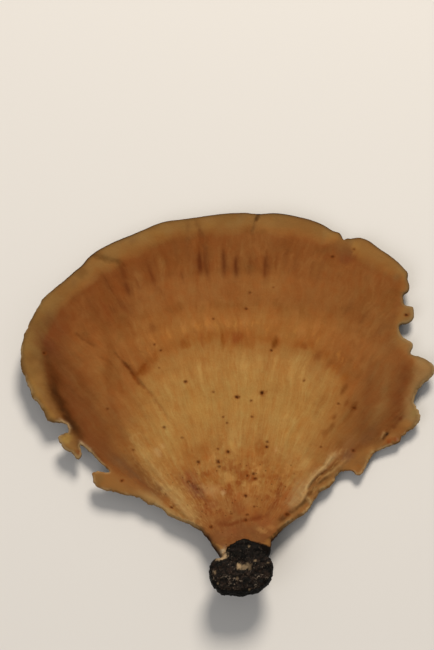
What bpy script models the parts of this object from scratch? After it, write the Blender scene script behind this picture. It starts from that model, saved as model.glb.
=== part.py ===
"""A dried bracket fungus with a thin fan-shaped cap and a short side stem, as it lies on a
table: resting on the top of its cap, with the pore side and the stem's cut end facing up.

+Y is the way the cap grew, away from its stem, and z = 0 is the surface it lies on. Shapes are
worked out in millimetres and turned into metres when their meshes are made."""

import math

import bmesh
import bpy
from mathutils import Vector, noise
from mathutils.geometry import delaunay_2d_cdt

MM = 0.001

# The cap's dish, measured from the middle of the flat patch it rests on.
BELLY = Vector((0.0, 6.0))
DISH_HALF_WIDTH = 64.0
DISH_HALF_LENGTH = 59.0
FLAT_SHARE = 0.38  # of the way from the belly's middle to the margin that lies flat
MARGIN_LIFT = 4.8
LIFT_TILT = 1.6  # how much more the margin lifts on the side towards LIFT_ANGLE
LIFT_ANGLE = math.radians(215)
DISH_POWER = 1.7
MARGIN_CURL = 1.3  # the extra upturn of the margin on the left
CURL_WIDTH = 8.0
CURL_ANGLE = math.radians(200)

# How thick the flesh is.
MARGIN_THICKNESS = 1.5
MIDDLE_THICKNESS = 2.9
THINNING = 22.0  # the width of the zone in which the flesh thins out to the margin
RIM_RADIUS = 0.45

# The stem. Its outline is in STEM_OUTLINE below.
STEM_CENTRE = Vector((4.0, -54.5))
STEM_TOP = 15.0
STEM_FOOT = 6.2
STEM_RADIUS = 8.5
SOCKET_GAP = 0.3  # between the stem and the cap's neck
NECK_RISE = 5.2  # how far the pore side climbs where the cap meets the stem
NECK_SAG = 2.4  # how far the cap's back swells down under the stem
NECK_REACH = 26.0  # how far from the stem the flesh starts to thicken

# The distance between neighbouring points of the meshes.
RIM_STEP = 1.9
PORE_SIDE_STEP = 2.4
BACK_STEP = 3.6

# The cap's outline, clockwise from the left of the stem, in stretches that are read off by eye.
LEFT_SIDE = (
    (-2.0, -50.5), (-3.7, -47.2), (-5.4, -44.0), (-8.5, -40.6), (-14.8, -37.8), (-18.0, -36.5),
    (-20.5, -34.0), (-23.0, -33.2), (-24.5, -32.8), (-26.5, -31.0), (-32.5, -30.0), (-39.0, -28.5),
    (-40.5, -27.0), (-41.0, -24.0),
)
LEFT_TEAR = (
    (-35.8, -23.4), (-39.5, -19.5), (-42.0, -16.5), (-45.0, -14.2),
)
LEFT_FLAP = (
    (-44.5, -17.5), (-45.5, -19.5), (-47.0, -17.5), (-50.0, -16.0), (-51.8, -12.0), (-48.6, -10.4),
)
LEFT_BITE = (
    (-49.0, -8.6), (-50.2, -7.7), (-54.8, -7.2), (-55.8, -4.7), (-57.5, -2.2), (-59.5, 0.0),
)
GROWING_EDGE = (
    (-61.5, 5.0), (-64.0, 12.0), (-63.0, 20.5), (-60.0, 27.0), (-57.5, 32.5), (-53.0, 37.5),
    (-48.5, 42.3), (-46.0, 44.2), (-43.5, 47.7), (-37.0, 52.0), (-29.5, 55.5), (-21.0, 59.5),
    (-11.5, 61.0), (-3.5, 62.2), (5.0, 62.8), (9.7, 62.3), (17.0, 62.7), (27.0, 60.8),
    (33.0, 58.0), (36.5, 54.6),
)
FAR_CORNER = (
    (38.2, 54.2), (44.0, 54.3), (47.2, 51.8), (54.0, 46.5), (57.3, 42.0),
)
RIGHT_NIBBLES = (
    (56.9, 40.0), (57.2, 36.0), (55.4, 34.6), (55.7, 31.9), (58.1, 30.8), (58.1, 27.0),
    (57.0, 25.5), (54.5, 25.0), (54.2, 21.5), (57.4, 19.3), (57.7, 17.7), (56.9, 15.2),
)
RIGHT_LOBES = (
    (62.0, 13.5), (64.0, 10.8), (63.5, 8.0), (59.3, 4.6), (57.2, 0.0), (58.8, -3.6),
    (58.2, -7.7), (54.0, -11.0), (51.8, -13.2), (45.0, -16.4),
)
RIGHT_SIDE = (
    (42.0, -21.5), (40.3, -24.0), (37.3, -22.3), (34.8, -22.4), (32.6, -24.4), (32.0, -26.7),
    (28.0, -29.2), (25.5, -32.3), (24.5, -35.0), (19.5, -38.5), (16.0, -41.5), (13.2, -45.0),
)
UNDER_THE_STEM = (
    (13.0, -48.8), (10.8, -52.0), (9.0, -56.5), (4.5, -58.5), (0.5, -57.5), (-1.8, -54.0),
)

# The stem's outline seen from above, counter-clockwise: a broad cut end, with a narrower lump
# behind it where the cap joins on.
STEM_OUTLINE = (
    (0.1, -48.3), (-0.3, -50.2), (-1.8, -51.6), (-4.0, -52.3), (-5.1, -53.4), (-5.5, -55.5),
    (-5.1, -57.6), (-4.1, -59.6), (-2.5, -61.5), (0.2, -62.1), (3.6, -62.2), (6.5, -62.0),
    (9.2, -61.3), (11.2, -59.7), (12.7, -57.6), (13.2, -55.5), (13.1, -53.2), (12.3, -51.7),
    (11.0, -50.6), (10.6, -49.1), (9.6, -47.9), (7.7, -46.8), (5.7, -46.1), (3.6, -46.2),
    (1.6, -47.0),
)

# Raised folds of the pore side: their lines, height and half width.
FOLDS = (
    (((34.5, -20.5), (28.0, -27.0), (22.5, -33.0), (17.5, -39.5)), 1.0, 1.9),
    (((-37.0, -26.5), (-27.0, -27.8), (-20.5, -31.5), (-12.0, -36.5)), 0.7, 2.0),
    (((54.5, 12.5), (59.5, 10.5)), 0.8, 3.0),
    (((38.5, -20.0), (44.0, -13.0), (52.0, -7.5)), -0.8, 2.4),
)


def smooth_step(value, low, high):
    share = min(max((value - low) / (high - low), 0.0), 1.0)
    return share * share * (3.0 - 2.0 * share)


def cut_corners(points, share):
    """One pass of corner cutting on an open line, which keeps its two ends."""
    rounded = [points[0]]
    for start, end in zip(points, points[1:]):
        rounded.append(start.lerp(end, share))
        rounded.append(start.lerp(end, 1.0 - share))
    rounded.append(points[-1])
    return rounded


def stretch(points, passes, share):
    line = [Vector(point) for point in points]
    for _ in range(passes):
        line = cut_corners(line, share)
    return line


def evenly(line, step):
    """The closed line with no side much longer than a step and none very short."""
    kept = [line[0]]
    for point in line[1:]:
        if (point - kept[-1]).length > 0.3 * step:
            kept.append(point)
    if (kept[-1] - kept[0]).length < 0.3 * step:
        kept.pop()
    even = []
    for start, end in zip(kept, kept[1:] + kept[:1]):
        parts = max(1, round((end - start).length / step))
        even.extend(start.lerp(end, part / parts) for part in range(parts))
    return even


def cap_outline():
    """The cap's outline, clockwise: growing edges are rounded, and tears keep sharp corners."""
    line = stretch(LEFT_SIDE, 1, 0.25)
    line += stretch(LEFT_TEAR, 0, 0.0)
    line += stretch(LEFT_FLAP, 1, 0.2)
    line += stretch(LEFT_BITE, 1, 0.15)
    line += stretch(GROWING_EDGE, 2, 0.25)
    line += stretch(FAR_CORNER, 1, 0.25)
    line += stretch(RIGHT_NIBBLES, 1, 0.2)
    line += stretch(RIGHT_LOBES, 2, 0.25)
    line += stretch(RIGHT_SIDE, 1, 0.2)
    line += stretch(UNDER_THE_STEM, 1, 0.25)
    return evenly(line, RIM_STEP)


def distance_to_line(point, line):
    nearest = math.inf
    for start, end in zip(line, line[1:]):
        along = end - start
        share = min(max((point - start).dot(along) / along.length_squared, 0.0), 1.0)
        nearest = min(nearest, (point - start - along * share).length)
    return nearest


def inside(point, line):
    """Whether the point lies within the closed line."""
    crossings = 0
    for start, end in zip(line, line[1:] + line[:1]):
        if (start.y > point.y) != (end.y > point.y):
            crossing_x = start.x + (point.y - start.y) / (end.y - start.y) * (end.x - start.x)
            crossings += crossing_x > point.x
    return crossings % 2 == 1


def neck_share(point):
    """How far the flesh has thickened towards the stem: 1 at the stem and 0 by its reach."""
    from_stem = max((point - STEM_CENTRE).length - STEM_RADIUS, 0.0)
    near = max(1.0 - from_stem / NECK_REACH, 0.0)
    return near * near * (1.5 - 0.5 * near)


def back_height(point, edge_distance):
    """The cap's real top, which lies underneath: a flat belly and a rising, wavy margin."""
    offset = point - BELLY
    share = math.hypot(offset.x / DISH_HALF_WIDTH, offset.y / DISH_HALF_LENGTH)
    rise = max(0.0, (share - FLAT_SHARE) / (1.0 - FLAT_SHARE))
    angle = math.atan2(offset.y, offset.x)
    lift = MARGIN_LIFT + LIFT_TILT * math.cos(angle - LIFT_ANGLE)
    lift += 0.55 * math.sin(5.0 * angle + 0.6)
    lift += 0.35 * math.sin(9.0 * angle + 2.1)
    curl = MARGIN_CURL * (0.5 + 0.5 * math.cos(angle - CURL_ANGLE))
    curl *= 1.0 - smooth_step(edge_distance, 0.0, CURL_WIDTH)
    return lift * rise**DISH_POWER + curl - NECK_SAG * neck_share(point)


def flesh_thickness(point, edge_distance):
    thickening = smooth_step(edge_distance, 0.0, THINNING)
    thickness = MARGIN_THICKNESS + (MIDDLE_THICKNESS - MARGIN_THICKNESS) * thickening
    return thickness + (NECK_RISE + NECK_SAG) * neck_share(point)


def pore_relief(point, edge_distance):
    """Broad growth zones and ribs that fan out from the stem, and the folds along the sides."""
    offset = point - STEM_CENTRE
    distance = offset.length
    angle = math.atan2(offset.y, offset.x)
    ribs = noise.noise(Vector((angle * 9.0, distance * 0.012, 3.0)))
    relief = 0.4 * ribs * smooth_step(distance, 18.0, 60.0)
    relief += 0.12 * math.sin(distance * 0.42 + 1.3 * noise.noise(Vector((angle * 2.0, 7.0, 0.0))))
    relief *= smooth_step(edge_distance, 0.5, 6.0)
    for line, height, half_width in FOLDS:
        away = distance_to_line(point, [Vector(end) for end in line]) / half_width
        relief += height * math.exp(-away * away)
    return relief


def pore_height(point, edge_distance):
    height = back_height(point, edge_distance) + flesh_thickness(point, edge_distance)
    return height + pore_relief(point, edge_distance)


def outward(outline, index):
    """The direction away from the flesh at one point of a clockwise outline."""
    before = outline[index - 1]
    after = outline[(index + 1) % len(outline)]
    along = (after - before).normalized()
    return Vector((-along.y, along.x))


def grid_inside(outline, step):
    """Points of a triangular grid that keep off the outline."""
    row_height = step * math.sqrt(3.0) / 2.0
    closed = outline + outline[:1]
    points = []
    for row in range(-40, 41):
        for column in range(-40, 41):
            x = (column + 0.5 * (row % 2)) * step
            point = Vector((x, row * row_height))
            if abs(point.x) > 66.0 or abs(point.y) > 66.0 or not inside(point, outline):
                continue
            if distance_to_line(point, closed) > 0.6 * step:
                points.append(point)
    return points


def add_skin(shape, ring, step, height, faces_up):
    """One side of the cap: triangles between a ring of the rim and the points within it."""
    border = [Vector((vertex.co.x, vertex.co.y)) / MM for vertex in ring]
    closed = border + border[:1]
    within = grid_inside(border, step)
    sides = [(index, (index + 1) % len(border)) for index in range(len(border))]
    flat, _, triangles, _, _, _ = delaunay_2d_cdt(border + within, sides, [], 1, 1e-5)
    corners = list(ring)
    for point in flat[len(border):]:
        level = height(point, distance_to_line(point, closed))
        corners.append(shape.verts.new((point.x * MM, point.y * MM, level * MM)))
    for triangle in triangles:
        order = triangle if faces_up else reversed(triangle)
        shape.faces.new([corners[corner] for corner in order])


def make_object(name, shape, colour, roughness, crease_angle):
    """A smooth-shaded object from the bmesh, with a material of its own."""
    bmesh.ops.recalc_face_normals(shape, faces=shape.faces)
    mesh = bpy.data.meshes.new(name)
    shape.to_mesh(mesh)
    shape.free()
    mesh.shade_smooth()
    mesh.set_sharp_from_angle(angle=math.radians(crease_angle))
    material = bpy.data.materials.new(name)
    material.use_nodes = True
    surface = material.node_tree.nodes["Principled BSDF"]
    surface.inputs["Base Color"].default_value = (*colour, 1.0)
    surface.inputs["Roughness"].default_value = roughness
    surface.inputs["Metallic"].default_value = 0.0
    mesh.materials.append(material)
    made = bpy.data.objects.new(name, mesh)
    bpy.context.scene.collection.objects.link(made)
    return made


def make_cap():
    """The fan-shaped cap: a rim of three rings, with the pore side above and the back below."""
    outline = cap_outline()
    shape = bmesh.new()
    rings = {"back": [], "edge": [], "pores": []}
    for index, point in enumerate(outline):
        inner = point - outward(outline, index) * RIM_RADIUS
        low = back_height(point, 0.0)
        high = pore_height(point, 0.0)
        edge = 0.5 * (low + high)
        rings["back"].append(shape.verts.new((inner.x * MM, inner.y * MM, low * MM)))
        rings["edge"].append(shape.verts.new((point.x * MM, point.y * MM, edge * MM)))
        rings["pores"].append(shape.verts.new((inner.x * MM, inner.y * MM, high * MM)))
    for lower, upper in (("back", "edge"), ("edge", "pores")):
        for index in range(len(outline)):
            after = (index + 1) % len(outline)
            low, high = rings[lower], rings[upper]
            shape.faces.new((low[index], high[index], high[after], low[after]))
    add_skin(shape, rings["pores"], PORE_SIDE_STEP, pore_height, True)
    add_skin(shape, rings["back"], BACK_STEP, back_height, False)
    return make_object("cap", shape, (0.42, 0.22, 0.08), 0.8, 40.0)


def stem_mesh(swell):
    """The stem's lumpy stub between its rounded foot and its flat cut end, swollen all round."""
    line = [Vector(point) for point in STEM_OUTLINE]
    outline = evenly(stretch(line + line[:1], 1, 0.25)[:-1], 1.35)
    # Each ring: its height as a share of the stub's, and how far it is drawn in from the outline.
    rings = (
        (0.00, 0.46), (0.03, 0.29), (0.11, 0.15), (0.24, 0.06), (0.42, 0.01), (0.62, 0.0),
        (0.80, 0.0), (0.93, 0.02), (0.985, 0.06), (1.0, 0.12),
    )
    shape = bmesh.new()
    made = []
    for share, drawn_in in rings:
        height = STEM_FOOT - swell + (STEM_TOP - STEM_FOOT + 2.0 * swell) * share
        ring = []
        for point in outline:
            side = point - STEM_CENTRE
            lump = noise.noise(Vector((side.x * 0.32, side.y * 0.32, height * 0.4)))
            reach = side.length * (1.0 - drawn_in) + 0.7 * lump * (1.0 if share < 0.95 else 0.4)
            place = STEM_CENTRE + side.normalized() * (reach + swell)
            ring.append(shape.verts.new((place.x * MM, place.y * MM, height * MM)))
        made.append(ring)
    for low, high in zip(made, made[1:]):
        for index in range(len(outline)):
            after = (index + 1) % len(outline)
            shape.faces.new((low[index], low[after], high[after], high[index]))
    shape.faces.new(list(reversed(made[0])))
    shape.faces.new(made[-1])
    return shape


def make_stem():
    return make_object("stem", stem_mesh(0.0), (0.05, 0.035, 0.025), 0.9, 35.0)


def cut_socket(cap):
    """The hollow in the cap's neck that the stem grows out of."""
    cutter = make_object("socket", stem_mesh(SOCKET_GAP), (0.5, 0.5, 0.5), 0.5, 35.0)
    cutter.hide_render = True
    cutter.display_type = "WIRE"
    cut = cap.modifiers.new("Socket", "BOOLEAN")
    cut.operation = "DIFFERENCE"
    cut.solver = "EXACT"
    cut.object = cutter
    return cutter


def centre_on_origin(solids, cutter):
    """Moves all the objects so that the middle of the solids' outline is over the origin."""
    corners = [vertex.co for solid in solids for vertex in solid.data.vertices]
    middle_x = 0.5 * (min(corner.x for corner in corners) + max(corner.x for corner in corners))
    middle_y = 0.5 * (min(corner.y for corner in corners) + max(corner.y for corner in corners))
    for each in (*solids, cutter):
        each.location = (-middle_x, -middle_y, 0.0)


def main():
    for left in list(bpy.data.objects):
        bpy.data.objects.remove(left, do_unlink=True)
    cap = make_cap()
    stem = make_stem()
    socket = cut_socket(cap)
    centre_on_origin((cap, stem), socket)


main()
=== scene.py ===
import itertools
import math

import bpy
import numpy as np
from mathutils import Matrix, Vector, kdtree


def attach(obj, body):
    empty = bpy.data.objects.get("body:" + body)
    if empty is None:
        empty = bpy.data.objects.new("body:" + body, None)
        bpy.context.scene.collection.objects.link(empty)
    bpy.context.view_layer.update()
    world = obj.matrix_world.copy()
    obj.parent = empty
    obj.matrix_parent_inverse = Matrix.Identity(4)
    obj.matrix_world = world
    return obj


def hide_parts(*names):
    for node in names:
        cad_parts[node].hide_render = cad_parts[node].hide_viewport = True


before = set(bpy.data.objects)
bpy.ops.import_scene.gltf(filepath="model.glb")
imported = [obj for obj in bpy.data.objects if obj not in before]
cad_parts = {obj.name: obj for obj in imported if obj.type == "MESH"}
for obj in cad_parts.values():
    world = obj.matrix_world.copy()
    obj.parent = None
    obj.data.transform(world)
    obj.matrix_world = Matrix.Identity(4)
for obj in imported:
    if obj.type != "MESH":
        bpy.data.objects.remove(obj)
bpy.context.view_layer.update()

# ------------------------------
# The cap: one thin, dried, leathery fan that grew sideways out of its stem and lies on its real
# top, so its pore side is seen. It is made from its CAD solid, rounded by subdivision, and then
# given its ribs, creases, folds, insect pits and growth zones by moving and painting its points.
# ------------------------------

MM = 0.001
STEM_AT = (3.9, -54.7)  # the cap's fibres fan out from here; all places are in millimetres

# The line where the pores stop and the smooth pale margin starts, from the stem's left side
# over the growing edge to its right side.
PORE_LIMIT = (
    (-9.5, -41.5), (-13.5, -38.3), (-17.5, -35.6), (-21.5, -32.6), (-25.5, -29.6), (-29.5, -26.6),
    (-34.0, -24.2), (-38.0, -21.5), (-44.0, -18.2), (-45.6, -15.2), (-48.0, -10.2), (-50.0, -6.8),
    (-52.4, -3.0), (-54.6, 1.5), (-56.1, 5.8), (-57.4, 10.6), (-57.8, 15.6), (-57.2, 20.4),
    (-55.0, 25.4), (-52.3, 29.8), (-47.8, 35.6), (-43.2, 39.3), (-40.1, 42.8), (-33.9, 46.3),
    (-29.2, 49.1), (-24.5, 52.2), (-18.1, 54.0), (-8.6, 56.0), (1.0, 56.6), (7.3, 56.9),
    (13.7, 56.5), (18.5, 56.1), (23.3, 55.6), (26.4, 54.8), (29.6, 53.6), (33.4, 52.2),
    (37.5, 50.8), (41.4, 48.4), (45.6, 45.4), (48.6, 43.6), (51.4, 41.8), (54.2, 40.2),
    (55.8, 37.4), (55.2, 33.0), (54.4, 28.8), (52.6, 24.0), (52.4, 20.6), (53.6, 18.0),
    (55.6, 16.2), (58.0, 14.6), (58.8, 11.8), (59.0, 9.4), (57.6, 4.8), (55.0, 0.6),
    (54.6, -3.7), (53.1, -7.7), (49.8, -10.6), (48.2, -12.6), (45.6, -14.6), (43.0, -15.8),
    (41.2, -15.6), (38.6, -17.0), (35.0, -20.5), (30.5, -24.2), (27.5, -27.0), (25.0, -30.5),
    (23.0, -34.0), (17.0, -40.0))
# The edge of the pale middle. Its upper part is the rusty line where one season's growth ended.
GROWTH_LINE = (
    (-5.0, -46.0), (-13.5, -36.5), (-24.0, -28.0), (-31.0, -20.0), (-33.0, -10.0), (-30.5, 0.4),
    (-28.5, 6.0), (-26.8, 9.3), (-24.7, 12.0), (-22.5, 14.3), (-19.1, 16.6), (-15.4, 18.6),
    (-9.8, 20.5), (-3.5, 21.1), (2.8, 21.5), (9.0, 20.1), (15.3, 18.9), (21.8, 18.2),
    (25.2, 17.8), (28.3, 15.8), (31.1, 13.2), (33.8, 9.9), (35.9, 6.6), (37.0, 2.9),
    (36.6, -2.0), (34.5, -8.0), (31.5, -15.0), (28.0, -22.0), (21.0, -33.0), (13.0, -46.0))
# The pale crests where the fan is folded on both sides of its neck.
LEFT_CREST = (
    (-27.5, -12.5), (-24.3, -19.5), (-21.8, -23.3), (-19.3, -27.1), (-16.2, -30.7),
    (-13.2, -34.0), (-10.7, -37.7), (-8.6, -42.1))
RIGHT_CREST = (
    (33.5, -16.6), (31.8, -18.1), (29.5, -21.0), (26.4, -23.9), (24.7, -26.3), (23.9, -27.8),
    (23.2, -31.1), (21.0, -34.1), (18.2, -37.9), (14.7, -41.7))
# What the eye can follow on the pore side: half width, rise (below 0 for a groove), strength,
# colour and line. Each line's marks fade at both its ends.
LINES = (
    # The left crest with its threads, the hollow outside it and the pale rim outside that.
    (2.4, 0.1, 0.45, "#8f7040", LEFT_CREST),
    (0.8, 0.25, 0.4, "#9e7d4b", ((-24.6, -18.2), (-21.6, -22.6), (-18.2, -26.6), (-15.0, -30.0),
        (-12.2, -33.8), (-10.0, -37.6))),
    (0.8, 0.3, 0.45, "#a08152", ((-22.6, -24.6), (-19.2, -28.4), (-16.0, -32.0), (-13.0, -35.4),
        (-10.4, -38.8))),
    (2.1, -0.3, 0.9, "#634024", ((-37.0, -16.9), (-32.8, -19.9), (-28.4, -23.6), (-25.2, -26.6),
        (-22.4, -28.8), (-19.4, -30.6))),
    (1.4, -0.15, 0.65, "#6a411d", ((-30.4, -16.6), (-27.0, -22.0), (-23.2, -26.8), (-19.8, -30.2))),
    (1.4, 0.3, 0.85, "#927649", ((-26.5, -30.2), (-22.8, -32.1), (-19.8, -34.9), (-16.7, -37.1),
        (-13.7, -38.6), (-10.7, -41.2), (-8.6, -44.1))),
    (0.6, -0.1, 0.45, "#7a5426", ((-18.6, -32.4), (-15.6, -35.0), (-12.4, -37.8), (-9.8, -41.0))),
    # The right crest, its second fold, the creases between them, painted dark as their shade, and a small
    # curl.
    (2.0, 0.25, 0.75, "#93754b", ((24.0, -25.2), (22.6, -27.6), (21.2, -30.6), (20.2, -33.0),
        (19.2, -35.2))),
    (1.0, 0.7, 0.85, "#a18256", RIGHT_CREST[:7] + ((21.6, -33.6),)),
    (0.8, 0.3, 0.45, "#8d683b", ((23.0, -31.4),) + RIGHT_CREST[7:]),
    (0.7, 0.4, 0.65, "#8d6c42", ((37.0, -18.4), (35.0, -20.2), (32.2, -22.4), (29.4, -24.1),
        (26.6, -27.6), (24.9, -29.6))),
    # The creases between the folds: painted shade.
    (0.55, -0.6, 0.7, "#5e3c1a", ((34.2, -19.2), (31.2, -22.2), (28.4, -23.8), (26.0, -26.2),
        (24.9, -28.2))),
    (0.7, -0.6, 0.75, "#573716", ((31.2, -24.2), (29.1, -25.6), (27.0, -27.0), (25.4, -29.0),
        (24.4, -30.6), (22.8, -33.2), (21.0, -34.8), (18.8, -35.8))),
    (1.0, -0.5, 0.75, "#4b2b12", ((20.4, -35.2), (18.4, -36.2), (16.8, -37.6), (15.4, -39.4))),
    (0.8, 0.4, 0.65, "#86673b", ((27.6, -28.6), (28.9, -27.8), (30.7, -26.6), (32.4, -25.2))),
    (0.55, 0.5, 0.75, "#93774c", ((23.6, -30.3), (24.8, -31.8), (25.0, -33.4), (24.1, -34.9),
        (23.2, -35.9))),
    # Bare flesh on the left of the stem, and a thin fold on its right.
    (1.0, 0.0, 0.9, "#a08d70", ((-1.0, -48.9), (-1.5, -49.8), (-2.0, -50.8))),
    (0.6, 0.3, 0.45, "#86653c", ((19.8, -37.6), (18.0, -39.6), (16.0, -41.8))),
    # The dip behind the left margin, painted dark brown as its shade, and the torn rim below it.
    (3.0, -0.15, 0.72, "#5a3112", ((-53.2, 14.0), (-53.2, 8.6), (-52.6, 4.0), (-51.2, 0.0),
        (-49.2, -4.0), (-47.0, -8.0), (-44.8, -12.0))),
    (1.4, -0.25, 0.6, "#4c2a0e", ((-56.8, 17.2), (-56.0, 13.6), (-55.3, 10.4), (-54.1, 6.2),
        (-52.9, 1.4), (-51.6, -1.2), (-50.4, -3.5))),
    (1.2, -0.45, 0.9, "#3a200b", ((-54.1, 6.2), (-52.9, 1.4), (-51.6, -1.2), (-50.3, -3.5),
        (-48.9, -6.1), (-47.4, -8.4), (-46.3, -10.3), (-45.0, -12.7))),
    (0.45, 0.1, 0.55, "#a48a66", ((-51.4, -6.6), (-49.2, -7.9), (-48.2, -9.4), (-48.7, -11.1))),
    (0.45, 0.1, 0.55, "#a48a66", ((-45.3, -13.2), (-43.2, -15.1), (-41.3, -17.2))),
    # Creases across the left margin, painted darker as their shade.
    (2.4, -0.3, 0.4, "#64401f", ((-64.2, 22.0), (-60.3, 22.1), (-57.0, 22.9))),
    (2.0, -0.25, 0.4, "#664322", ((-64.2, 11.4), (-60.7, 11.4), (-58.0, 12.4))),
    (2.0, -0.2, 0.35, "#6a4722", ((-62.6, 7.0), (-59.4, 7.7), (-56.4, 8.7))),
    (1.4, -0.25, 0.2, "#64401f", ((-58.6, -1.7), (-55.4, -1.2), (-52.8, -0.3))),
    (1.1, -0.4, 0.55, "#5c3b19", ((-44.8, 48.8), (-43.6, 48.0), (-40.8, 46.9), (-37.7, 46.1),
        (-34.8, 45.6), (-33.2, 43.1))),
    # The long crack on the left, its branches and the short dashes outside it.
    (0.45, -0.15, 0.4, "#5f3210", ((-35.8, 16.0), (-33.1, 13.3), (-30.9, 11.1))),
    (0.6, -0.3, 0.85, "#56280b", ((-32.6, 12.6), (-30.9, 11.1), (-28.7, 8.0), (-27.1, 6.0),
        (-25.8, 4.6))),
    (1.2, -0.1, 0.4, "#6d3b13", ((-31.4, 11.6), (-28.7, 8.0), (-26.4, 5.4))),
    (0.6, -0.2, 0.5, "#74431a", ((-27.4, 6.2), (-23.9, 2.4), (-20.8, -2.1), (-18.3, -5.6))),
    (0.8, -0.1, 0.7, "#6f390f", ((-29.0, 7.2), (-28.0, 9.2), (-26.2, 11.2), (-24.8, 13.3))),
    (0.55, -0.12, 0.5, "#5f3312", ((-47.4, 21.6), (-45.9, 20.2), (-44.2, 19.1))),
    (0.5, -0.1, 0.4, "#643814", ((-44.2, 18.8), (-42.7, 18.1), (-41.2, 17.3))),
    (0.45, -0.12, 0.35, "#623612", ((-40.0, 14.0), (-37.7, 12.9), (-35.6, 11.2))),
    # The arc round the stem, and a plum streak on its left.
    (0.75, -0.2, 0.65, "#612f12", ((-4.1, -39.3), (-1.2, -40.0), (1.6, -40.1), (5.2, -38.8),
        (9.1, -38.0), (12.2, -37.0))),
    (0.9, -0.2, 0.55, "#683717", ((12.2, -37.0), (13.4, -34.7), (14.7, -31.3), (16.0, -28.3),
        (15.6, -25.8))),
    (0.9, -0.15, 0.65, "#5c3624", ((-11.9, -25.9), (-9.8, -27.4), (-8.3, -29.3), (-6.8, -31.8))),
    # Creases across the growing edge.
    (0.85, -0.15, 0.45, "#5f381a", ((-10.2, 59.4), (-8.6, 56.2), (-7.3, 52.6), (-6.4, 48.2))),
    (0.8, -0.1, 0.35, "#6a4220", ((-12.4, 59.3), (-12.7, 54.8), (-12.7, 50.9))),
    (0.6, -0.5, 0.55, "#4d3016", ((10.1, 63.2), (9.9, 60.8), (9.2, 59.2))),
    (0.8, -0.3, 0.5, "#5f3d1e", ((9.9, 61.0), (8.9, 59.0), (8.0, 56.0), (7.8, 54.6))),
    # Broad bands along the fibres on the left.
    (2.2, -0.1, 0.35, "#673b1a", ((-46.3, 9.1), (-43.0, -1.4), (-39.1, -11.4), (-35.2, -18.5))),
    (2.2, 0.05, 0.4, "#865a2d", ((-40.8, 13.1), (-39.4, 5.1), (-36.8, -2.9))),
    (1.6, -0.12, 0.4, "#6b401e", ((-36.9, 3.0), (-34.3, -6.1), (-31.1, -14.4))),
    # The dip behind the right margin, and a slit between its pale lips.
    (2.4, -0.2, 0.65, "#633618", ((54.6, 13.0), (54.8, 8.6), (53.6, 2.7), (52.6, -3.0), (51.0, -7.4))),
    (0.8, -0.2, 0.7, "#5c2f12", ((54.0, -4.4), (52.2, -7.3), (50.7, -9.2))),
    (0.34, -0.4, 1.0, "#20120a", ((49.5, -10.0), (48.6, -11.1), (47.7, -12.4))),
    (0.4, 0.15, 0.6, "#97784d", ((48.4, -9.8), (47.7, -10.7), (47.1, -11.9))),
    (0.9, 0.15, 0.8, "#743b17", ((48.9, -13.3), (50.5, -12.5), (52.0, -11.7))),
    (0.6, 0.1, 0.6, "#8d6f42", ((43.0, -19.4), (44.0, -17.4), (44.7, -15.4))),
    # Broad bands along the fibres on the right.
    (1.2, 0.12, 0.45, "#7c5a32", ((49.3, 11.3), (49.2, 5.4), (48.1, -0.4), (45.8, -6.1))),
    (1.5, -0.12, 0.5, "#683d1c", ((45.0, 12.6), (43.9, 5.2), (42.8, -2.9), (40.8, -11.7))))
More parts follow.
